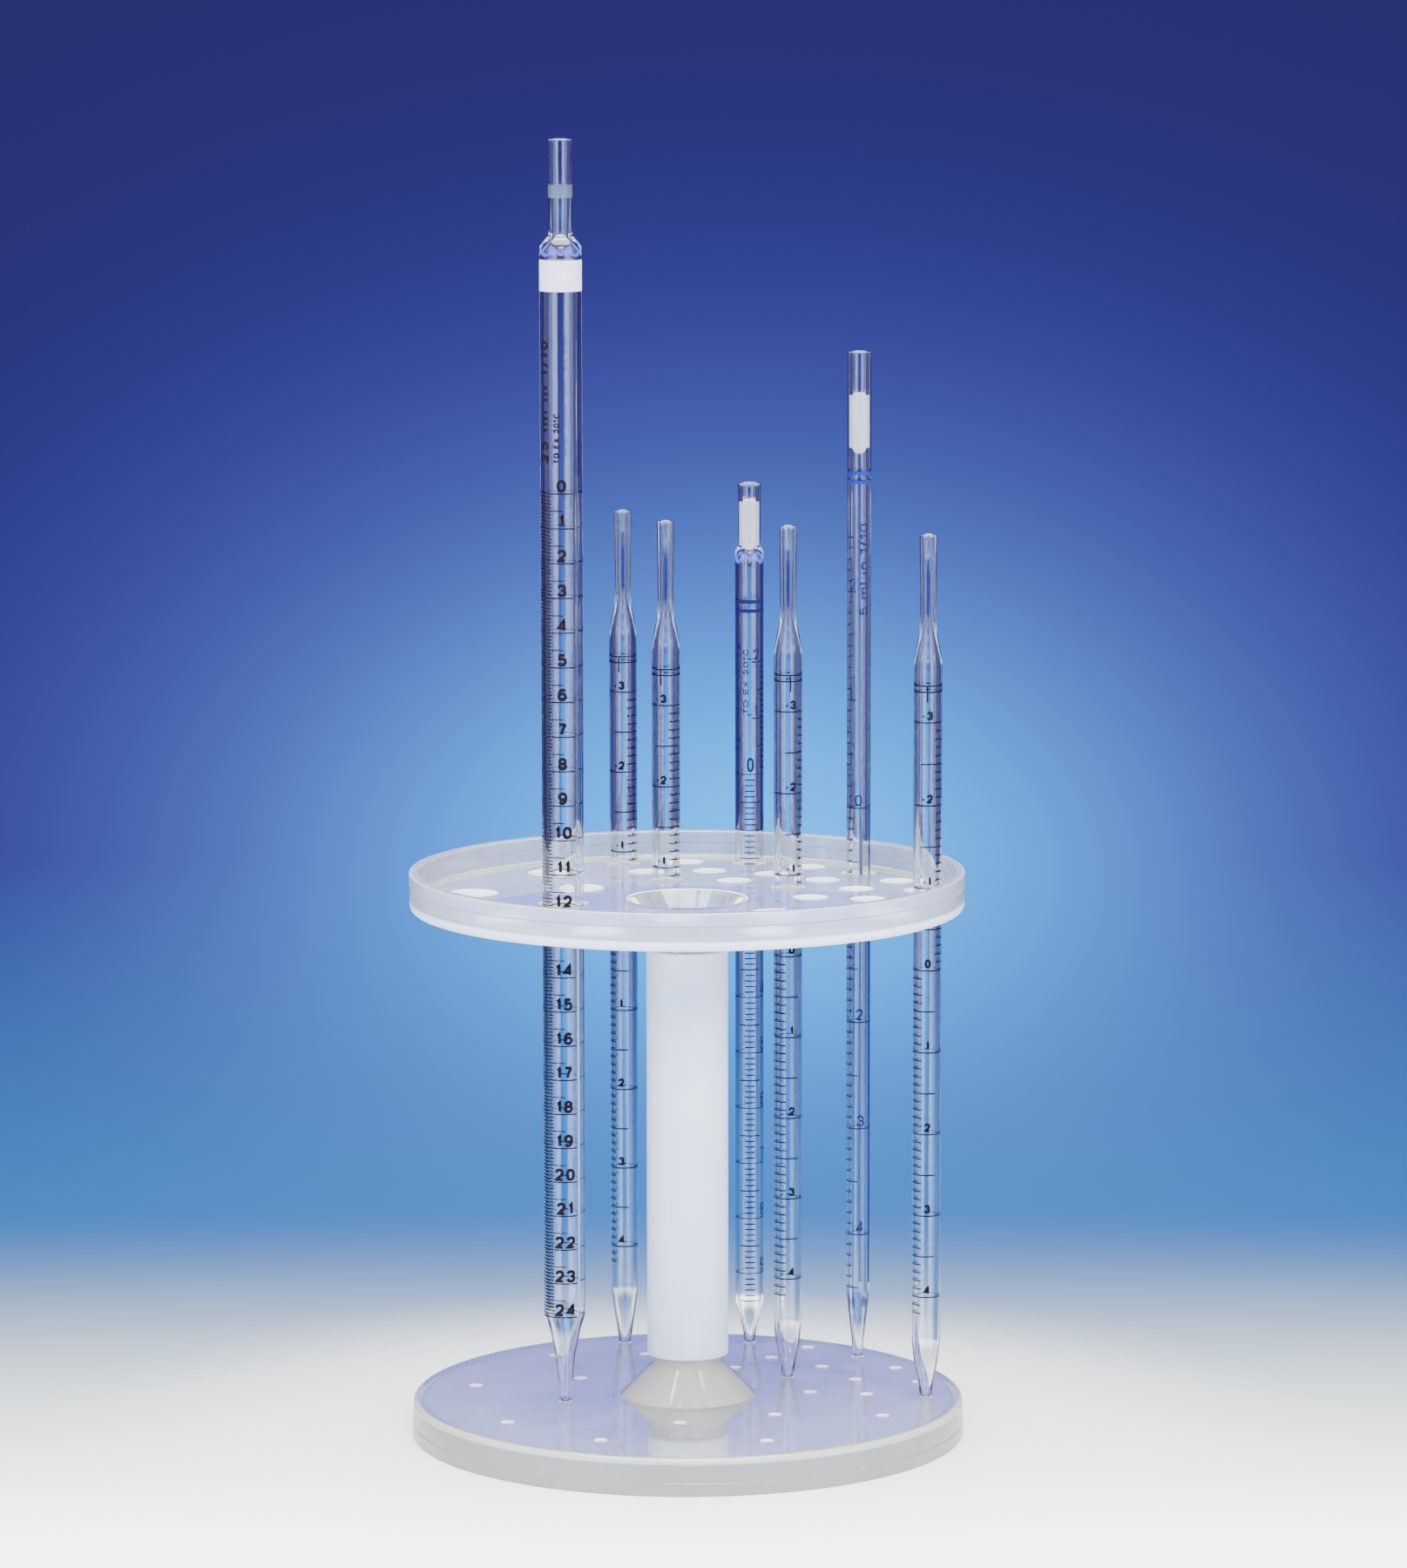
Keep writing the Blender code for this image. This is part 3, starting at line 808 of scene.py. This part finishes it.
# Plain upright lettering as strokes in a unit box: (width beside a digit's, strokes)
GLYPHS = {
    "0": (1.0, [curve((0.5, 1.0), (0.12, 0.86), (0.0, 0.5), (0.12, 0.14), (0.5, 0.0), (0.88, 0.14),
                      (1.0, 0.5), (0.88, 0.86), closed=True)]),
    "1": (0.62, [[(0.0, 0.76), (0.45, 0.82), (0.8, 1.0), (0.8, 0.0)]]),
    "2": (1.0, [curve((0.03, 0.7), (0.15, 0.92), (0.5, 1.0), (0.86, 0.92), (0.97, 0.7), (0.82, 0.45),
                      (0.35, 0.2), (0.02, 0.0)) + [(1.0, 0.0)]]),
    "3": (1.0, [curve((0.03, 0.76), (0.18, 0.95), (0.5, 1.0), (0.84, 0.93), (0.93, 0.75), (0.8, 0.57),
                      (0.42, 0.53)),
                curve((0.42, 0.53), (0.84, 0.48), (1.0, 0.28), (0.86, 0.07), (0.5, 0.0), (0.14, 0.06),
                      (0.0, 0.26))]),
    "4": (1.05, [[(0.76, 0.0), (0.76, 1.0), (0.0, 0.27), (1.0, 0.27)]]),
    "5": (1.0, [[(0.9, 1.0), (0.18, 1.0), (0.08, 0.5)],
                curve((0.08, 0.5), (0.26, 0.6), (0.55, 0.64), (0.88, 0.56), (1.0, 0.32), (0.86, 0.08),
                      (0.5, 0.0), (0.14, 0.06), (0.0, 0.24))]),
    "6": (1.0, [SIX, loop(0.5, 0.31, 0.5, 0.31)]),
    "7": (1.0, [[(0.0, 1.0), (1.0, 1.0)], curve((1.0, 1.0), (0.6, 0.56), (0.35, 0.0))]),
    "8": (1.0, [loop(0.5, 0.76, 0.43, 0.24), loop(0.5, 0.27, 0.5, 0.27)]),
    "9": (1.0, [[(1.0 - x, 1.0 - y) for x, y in SIX], loop(0.5, 0.69, 0.5, 0.31)]),
    "-": (0.62, [[(0.0, 0.4), (1.0, 0.4)]]),
    "/": (0.6, [[(0.0, -0.05), (1.0, 1.05)]]),
    " ": (0.45, []),
    "m": (1.5, [[(0.0, 0.0), (0.0, 0.72)],
                curve((0.0, 0.5), (0.12, 0.68), (0.3, 0.71), (0.47, 0.58), (0.5, 0.4)) + [(0.5, 0.0)],
                curve((0.5, 0.5), (0.62, 0.68), (0.8, 0.71), (0.97, 0.58), (1.0, 0.4)) + [(1.0, 0.0)]]),
    "n": (0.95, [[(0.0, 0.0), (0.0, 0.72)],
                 curve((0.0, 0.5), (0.25, 0.68), (0.6, 0.71), (0.93, 0.58), (1.0, 0.4)) + [(1.0, 0.0)]]),
    "l": (0.3, [[(0.5, 0.0), (0.5, 1.0)]]),
    "i": (0.3, [[(0.5, 0.0), (0.5, 0.72)], [(0.5, 0.88), (0.5, 1.0)]]),
    "T": (1.0, [[(0.0, 1.0), (1.0, 1.0)], [(0.5, 1.0), (0.5, 0.0)]]),
    "D": (1.1, [[(0.0, 0.0), (0.0, 1.0)],
                curve((0.0, 1.0), (0.5, 0.98), (0.9, 0.8), (1.0, 0.5), (0.9, 0.2), (0.5, 0.02), (0.0, 0.0))]),
    "E": (0.95, [[(1.0, 1.0), (0.0, 1.0), (0.0, 0.0), (1.0, 0.0)], [(0.0, 0.52), (0.9, 0.52)]]),
    "X": (1.05, [[(0.0, 0.0), (1.0, 1.0)], [(0.0, 1.0), (1.0, 0.0)]]),
    "C": (1.1, [curve((0.96, 0.74), (0.8, 0.95), (0.5, 1.0), (0.12, 0.86), (0.0, 0.5), (0.12, 0.14),
                      (0.5, 0.0), (0.82, 0.05), (0.98, 0.28))]),
    "\u00b0": (0.5, [loop(0.5, 0.82, 0.5, 0.18, 12)]),
}


def print_25ml():
    """The tall pipette's scale, 0 to 24 down the tube, with its bands."""
    scale = Print("25ml", 7.4)
    for i in range(241):
        height = 326.4 - 1.228 * i
        if i % 10 == 0:
            scale.line(-280.0, 37.0, height)
            words = str(i // 10)
            scale.text(words, 0.0 if len(words) == 1 else 1.5, height + 0.45, 4.6, 3.4, 1.1)
        elif i % 5 == 0:
            scale.line(-125.0, 4.0, height, 0.34)
        else:
            scale.line(-125.0, -30.0, height, 0.36)
    scale.text("25 ml in 1/10", -52.0, 337.0, 4.0, 2.8, 1.05, upward=True, length=43.0)
    scale.text("TD EX 20\u00b0C", -13.0, 337.0, 2.2, 1.5, 0.5, upward=True, length=17.6)
    scale.done("scale_25ml", BROWN_INK)

    band = Print("25ml", 7.4)
    band.strip(0.0, 360.0, 397.1, 408.0, 0.05, 0.05, 3.75)
    band.done("band_25ml", WHITE_INK)

    ring = Print("25ml", 4.2)
    ring.strip(0.0, 360.0, 429.6, 434.1, 0.1, 0.08, 3.75)
    ring.done("ring_25ml", FROSTED)


def print_10ml():
    """The 10 ml pipette: a scale below zero on the front and one above it on the right."""
    scale = Print("10ml", 5.2)
    for i in range(-20, 96):
        height = 213.7 - 2.078 * i
        if i < 0:
            if i % 10 == 0:
                scale.line(8.0, 190.0, height)
                scale.text(str(-i // 10), 28.0, height + 0.9, 3.9, 1.9, 0.5)
            elif i % 5 == 0:
                scale.line(31.0, 115.0, height)
            else:
                scale.line(50.0, 115.0, height)
        elif i % 10 == 0:
            scale.line(-170.0, 95.0, height, 0.3)
            if i:
                scale.text(str(i // 10), 64.0, height + 0.7, 5.1, 2.5, 0.55)
            else:
                scale.text("0", 3.0, height + 0.9, 5.3, 2.6, 0.75)
        elif i % 5 == 0:
            scale.line(-42.0, 43.0, height)
        else:
            scale.line(-20.0, 21.6, height)
    scale.text("10 ml in 1/10", -62.0, 222.0, 4.0, 2.8, 0.75, upward=True, length=40.0)
    scale.text("TD EX 20\u00b0C", -16.0, 236.0, 1.9, 1.4, 0.34, upward=True, length=24.0)
    scale.done("scale_10ml", NAVY_INK)

    bands = Print("10ml", 5.2)
    for low, high in ((276.7, 278.1), (273.4, 274.65)):
        bands.strip(-170.0, 95.0, low, high)
    bands.done("bands_10ml", NAVY_INK)


def print_5ml_long():
    """The long 5 ml pipette: thin strokes, two blue bands and a stripe down its back."""
    scale = Print("5ml_long", 4.3)
    for i in range(-25, 46):
        height = 204.4 - 3.955 * i
        if i < 0:
            if i % 10 == 0:
                scale.line(-115.0, -14.5, height)
                scale.text(str(-i // 10), -35.0 if i == -20 else -46.0, height + 0.8, 4.0, 2.3, 0.45)
            elif i % 5 == 0:
                scale.line(-115.0, -30.0, height)
            else:
                scale.line(-115.0, -48.0, height)
        elif i % 10 == 0:
            scale.line(-215.0, 120.0, height)
            angle = {0: -3.0, 10: 4.0, 20: 2.0, 30: 10.0, 40: 7.0}[i]
            scale.text(str(i // 10), angle, height + 0.9, 4.0, 2.7, 0.5)
        elif i % 5 == 0:
            scale.line(-120.0, -5.0, height)
        else:
            scale.line(-120.0, -34.0, height)
    scale.text("5 ml in 1/10", 21.0, 275.0, 3.3, 2.4, 0.48, upward=True, length=33.3)
    scale.done("scale_5ml_long", NAVY_INK)

    bands = Print("5ml_long", 4.3)
    for low, high in ((326.0, 327.3), (322.8, 324.1)):
        bands.strip(0.0, 360.0, low, high)
    bands.done("bands_5ml_long", BLUE_INK)

    stripe = Print("5ml_long", 4.3)
    stripe.strip(144.0, 172.0, 26.9, 203.4, 0.05, 0.03)
    stripe.done("stripe_5ml_long", STRIPE_INK)


def print_5ml_short(name, turn):
    """A short 5 ml pipette: double ring, stem, and scales above and below its zero."""
    scale = Print(name, 5.05, turn)
    scale.strip(0.0, 360.0, 257.08, 257.54)
    scale.strip(0.0, 360.0, 254.88, 255.34)
    half = math.degrees(0.25 / 5.05)
    scale.strip(-half, half, 251.5, 257.3)
    for i in range(-30, 43):
        height = 155.4 - 2.96 * i
        if i < 0:
            if i % 10 == 0:
                scale.line(-115.0, 115.0, height)
                scale.text(str(i // 10), 0.0, height + 0.9, 3.2, 2.3, 0.85)
            elif i % 5 == 0:
                scale.line(-26.0, 115.0, height)
            else:
                scale.line(34.0, 115.0, height)
        elif i % 10 == 0:
            scale.line(-180.0, 175.0, height)
            scale.text(str(i // 10), 5.0, height + 1.0, 3.2, 2.3, 0.85)
        elif i % 5 == 0:
            scale.line(-120.0, 35.0, height)
        else:
            scale.line(-120.0, -20.0, height)
    scale.done("scale_" + name, BLACK_INK)


# ---------------------------------------------------------------- plugs

def plug_outline(radius, low, high, rows):
    """Outline of a plug: rounded foot, nearly flat top, many rows between."""
    top = [
        (0.0, high), (radius * 0.45, high - 0.05), (radius * 0.8, high - 0.25),
        (radius * 0.96, high - 0.7),
    ]
    side = [(radius, high - 1.2 - (high - low - 1.2 - radius) * i / rows) for i in range(rows + 1)]
    foot = arc((0.0, low + radius), radius, 0.0, -90.0, 7)[1:-1]
    return top + side + foot + [(0.0, low)]


def build_plug(name, radius, low, high, material, fuzz, seed):
    """A packed fibre plug: an uneven core with loose strands lying on it and over its top."""
    centre = centre_of("plug_" + name)
    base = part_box("pipette_" + name)[0].z

    def uneven(angle, r, h):
        at = Vector((math.cos(angle) * r, math.sin(angle) * r, h)) * 0.9 + Vector((seed * 7.3, 0.0, 0.0))
        bump = noise.fractal(at, 0.9, 2.0, 4) * fuzz
        push = min(radius, max(0.0, r * (1.0 - fuzz * 0.4) + bump * 0.8)) if r else 0.0
        near_top = max(0.0, 1.0 - (high - h) / 2.5)
        return push, h + bump * 1.6 * near_top - 0.25 * near_top

    mesh = bmesh.new()
    revolve(mesh, plug_outline(radius, low, high - 0.6, int(high - low) * 3), 56, centre, base, uneven)
    rng = np.random.default_rng(100 + seed)
    for _ in range(90):
        angle, height = rng.uniform(0.0, 2.0 * math.pi), rng.uniform(low + radius, high - 0.4)
        lean, rise = rng.uniform(-0.5, 0.5), rng.uniform(2.0, 5.0)
        depth = radius * rng.uniform(0.9, 0.985)
        strand = []
        for k in range(9):
            t = k / 8.0
            at = angle + lean * t + 0.12 * math.sin(5.0 * t + seed)
            h = min(height + rise * t, high + 0.2 * rng.uniform(0.0, 1.0))
            inward = depth - 0.12 * radius * math.sin(math.pi * t) * rng.uniform(0.2, 1.0)
            strand.append((
                centre[0] + inward * MM * math.cos(at), centre[1] + inward * MM * math.sin(at),
                base + min(h, high) * MM,
            ))
        add_strand(mesh, strand, 0.035 * MM)
    made = make_object("fibre_" + name, mesh, material, sharp=80.0)
    finish_piece(made, "unit_" + name, "plug_" + name)


def add_strand(mesh, path, radius):
    """A thin closed three-sided tube along a path."""
    points = [Vector(p) for p in path]
    rings = []
    for i, point in enumerate(points):
        along = (points[min(i + 1, len(points) - 1)] - points[max(i - 1, 0)]).normalized()
        side = along.orthogonal().normalized()
        other = along.cross(side)
        size = radius * (0.35 if i in (0, len(points) - 1) else 1.0)
        rings.append([
            mesh.verts.new(point + size * (side * math.cos(a) + other * math.sin(a)))
            for a in (0.0, 2.1, 4.2)
        ])
    for first, second in zip(rings, rings[1:]):
        for k in range(3):
            m = (k + 1) % 3
            mesh.faces.new((first[k], second[k], second[m], first[m]))
    mesh.faces.new(rings[0])
    mesh.faces.new(rings[-1][::-1])


# ---------------------------------------------------------------- stage, light, camera

WARM, COOL, BLUE = (1.0, 0.957, 0.80), (0.66, 0.80, 1.0), (0.03, 0.14, 1.0)


def build_stage():
    """A pale floor that fades into the studio's blue surround."""
    mesh = bmesh.new()
    bmesh.ops.create_circle(mesh, cap_ends=True, segments=96, radius=2.2)
    made, tree, shader, coords = new_material("pale_floor", Roughness=0.75)
    grain = noise_of(tree, coords, 6.0, 2.0)
    tree.links.new(
        blend_colours(tree, grain, (0.84, 0.845, 0.82), (0.87, 0.875, 0.85)), shader.inputs["Base Color"]
    )
    length = tree.nodes.new("ShaderNodeVectorMath")
    length.operation = "LENGTH"
    tree.links.new(coords, length.inputs[0])
    near = maths(tree, "POWER", remap(tree, length.outputs["Value"], 0.105, 0.25, 1.0, 0.0), 2.0)
    clear = tree.nodes.new("ShaderNodeBsdfTransparent")
    mixed = tree.nodes.new("ShaderNodeMixShader")
    tree.links.new(near, mixed.inputs[0])
    tree.links.new(clear.outputs[0], mixed.inputs[1])
    tree.links.new(shader.outputs[0], mixed.inputs[2])
    tree.links.new(mixed.outputs[0], tree.nodes["Material Output"].inputs["Surface"])
    floor = make_object("studio_floor", mesh, made)


def ramp_of(tree, value, stops):
    """A smooth run of colours along a value: (place, colour) stops."""
    node = tree.nodes.new("ShaderNodeValToRGB")
    node.color_ramp.interpolation = "B_SPLINE"
    while len(node.color_ramp.elements) < len(stops):
        node.color_ramp.elements.new(0.5)
    for element, (place, colour) in zip(node.color_ramp.elements, stops):
        element.position = place
        element.color = (*colour, 1.0)
    tree.links.new(value, node.inputs["Fac"])
    return node.outputs["Color"]


def build_world():
    """A plain navy surround with a soft blue glow low on each of four sides, and a pale ground.

    A lilac belt above the glow is what the dishes' tops mirror, and the ground is dimmer further down,
    so that the glass, which bends views down to it, doesn't turn white.
    """
    world = bpy.data.worlds.new("studio")
    bpy.context.scene.world = world
    world.use_nodes = True
    tree = world.node_tree
    turned = tree.nodes.new("ShaderNodeMapping")
    turned.inputs["Rotation"].default_value = (0.0, 0.0, math.radians(1.36))
    tree.links.new(tree.nodes.new("ShaderNodeTexCoord").outputs["Generated"], turned.inputs["Vector"])
    split = tree.nodes.new("ShaderNodeSeparateXYZ")
    tree.links.new(turned.outputs["Vector"], split.inputs[0])
    x, y, z = split.outputs
    across = maths(tree, "MULTIPLY", maths(tree, "MULTIPLY", x, y), 1.0 / 1.42)
    up = maths(tree, "ADD", z, 0.153)
    away = maths(tree, "MULTIPLY", distance_of(tree, across, up), 1.0 / 0.166)
    blue = ramp_of(tree, away, (
        (0.0, (0.0, 0.38, 1.0)), (0.12, (0.008, 0.25, 0.8)), (0.245, (0.035, 0.096, 0.39)),
        (0.367, (0.031, 0.043, 0.212)), (0.488, (0.021, 0.022, 0.143)), (0.616, (0.0145, 0.0125, 0.097)),
        (0.756, (0.0135, 0.010, 0.075)), (1.0, (0.013, 0.0095, 0.068)),
    ))
    blue = blend_colours(tree, remap(tree, z, -0.15, -0.2, 0.0, 0.65), blue, (0.02, 0.14, 0.42))
    lilac = blend_colours(tree, window(tree, z, 0.12, 0.32, 0.04), blue, (0.09, 0.10, 0.84))
    grey = blend_colours(tree, remap(tree, z, 0.34, 0.6, 0.0, 1.0, True), lilac, (0.14, 0.15, 0.17))
    low = remap(tree, z, -0.2, -0.25, 0.0, 1.0)
    ground = maths(tree, "POWER", low, 2.2)
    turned_away = remap(tree, maths(tree, "MULTIPLY", across, across), 0.012, 0.06, 0.0, 1.0, True)
    dimmed = maths(tree, "MULTIPLY", turned_away, remap(tree, z, -0.5, -0.65, 1.0, 0.0, True))
    steep = remap(tree, z, -0.27, -0.42, 0.0, 1.0, True)
    pale = blend_colours(tree, steep, (2.3, 2.42, 2.05), (1.0, 1.04, 0.98))
    pale = blend_colours(tree, dimmed, pale, (0.24, 0.28, 0.38))
    pale = blend_colours(tree, window(tree, z, -0.6, -0.3, 0.03), pale, (0.32, 0.38, 0.55))
    tree.links.new(blend_colours(tree, ground, grey, pale), tree.nodes["Background"].inputs["Color"])
    tree.nodes["Background"].inputs["Strength"].default_value = 2.5


def add_light(name, place, target, width, height, power, colour, through=True):
    """A rectangular softbox that faces a target, and may be seen through the glass."""
    data = bpy.data.lights.new(name, "AREA")
    data.shape = "RECTANGLE"
    data.size, data.size_y = width, height
    data.energy = power
    data.color = colour
    light = bpy.data.objects.new(name, data)
    light.location = place
    light.rotation_euler = (Vector(target) - Vector(place)).to_track_quat("-Z", "Y").to_euler()
    light.visible_camera = False
    light.visible_transmission = through
    bpy.context.scene.collection.objects.link(light)


def build_lights():
    """Upright panels on both sides, whose streaks the tubes mirror, and softboxes above and in front."""
    middle = (0.0, 0.0, 0.35)
    for label, side in (("left", -1.0), ("right", 1.0)):
        add_light(label + "_key", (side * 1.06, -1.06, 0.35), middle, 1.15, 1.8, 31.0, COOL)
        add_light(
            label + "_blue", (side * 1.0, -1.0, 0.02), (0.0, 0.0, 0.1), 1.15, 1.0, 18.0, BLUE, through=False
        )
        add_light(
            label + "_side", (side * 1.37, -0.2, 0.35), middle, 1.1, 1.8, 11.0, COOL, through=False
        )
    add_light("top_softbox", (0.0, -0.2, 1.9), (0.0, 0.0, 0.1), 1.8, 1.4, 185.0, WARM, through=False)
    add_light("front_fill", (0.2, -2.8, 1.8), (0.0, 0.0, 0.2), 1.6, 1.0, 125.0, WARM)


CAMERA_PLACE, CAMERA_TURN = (-0.03407, -2.32045, 0.56055), (82.0125, 0.0804, -0.9986)
LENS, SENSOR = 151.38, 36.0


def build_camera():
    """The camera at the picture's viewing angle: a long lens, eight degrees down."""
    data = bpy.data.cameras.new("camera")
    data.lens, data.sensor_width = LENS, SENSOR
    camera = bpy.data.objects.new("camera", data)
    camera.location = CAMERA_PLACE
    camera.rotation_euler = [math.radians(angle) for angle in CAMERA_TURN]
    bpy.context.scene.collection.objects.link(camera)
    bpy.context.scene.camera = camera


# ---------------------------------------------------------------- build

build_camera()
build_world()
build_stage()
build_lights()

build_stand()
for each in PIPETTES:
    build_glass(each)
print_25ml()
print_10ml()
print_5ml_long()
for number, own_turn in ((1, -18.0), (2, -22.0), (3, 9.0), (4, -5.0)):
    print_5ml_short(f"5ml_short_{number}", own_turn)

build_plug("10ml", 2.52, 295.4, 315.6, COTTON, 0.03, 1)
build_plug("5ml_long", 2.52, 333.5, 356.5, COTTON, 0.03, 2)
# The short pipettes' plugs carry the painted navy of the backdrop seen through their necks.
for number, top in ((1, 303.8), (2, 299.5), (3, 302.5), (4, 302.1)):
    build_plug(f"5ml_short_{number}", 0.9, 281.9, top, PAINTED_NAVY_FIBRE, 0.04, 10 + number)
